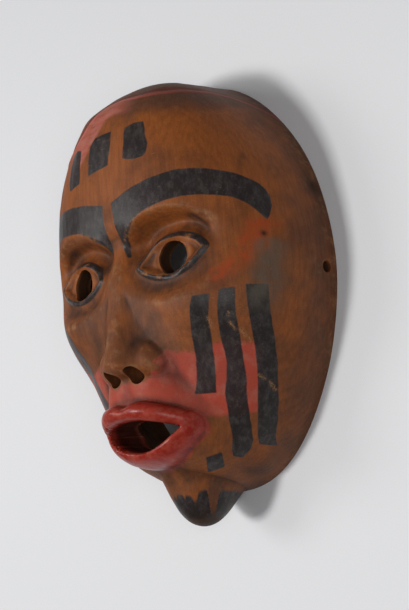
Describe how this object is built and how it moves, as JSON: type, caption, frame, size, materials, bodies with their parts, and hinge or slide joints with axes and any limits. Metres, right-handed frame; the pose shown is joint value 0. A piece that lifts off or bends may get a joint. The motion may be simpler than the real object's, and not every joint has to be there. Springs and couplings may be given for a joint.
{
  "type": "carved wooden face mask",
  "caption": "Hollow carved wooden face mask with pierced eyes, an open mouth, thick lips, a chin knob and tie holes; lies on its flat rim.",
  "frame": {"origin": "centre of the mask's box in X and Y, on the plane of the flat rim that it lies on", "axes": "+X to the right of someone facing the mask, +Y up the face to the crown, +Z out of the face"},
  "size_m": [0.176, 0.2566, 0.0914],
  "materials": {
    "painted_wood": "orange-brown carved wood with a worn satin surface, matt black and crimson painted areas and a paler, bare inside"
  },
  "bodies": {
    "root": {"mask": "painted_wood"}
  },
  "joints": []
}
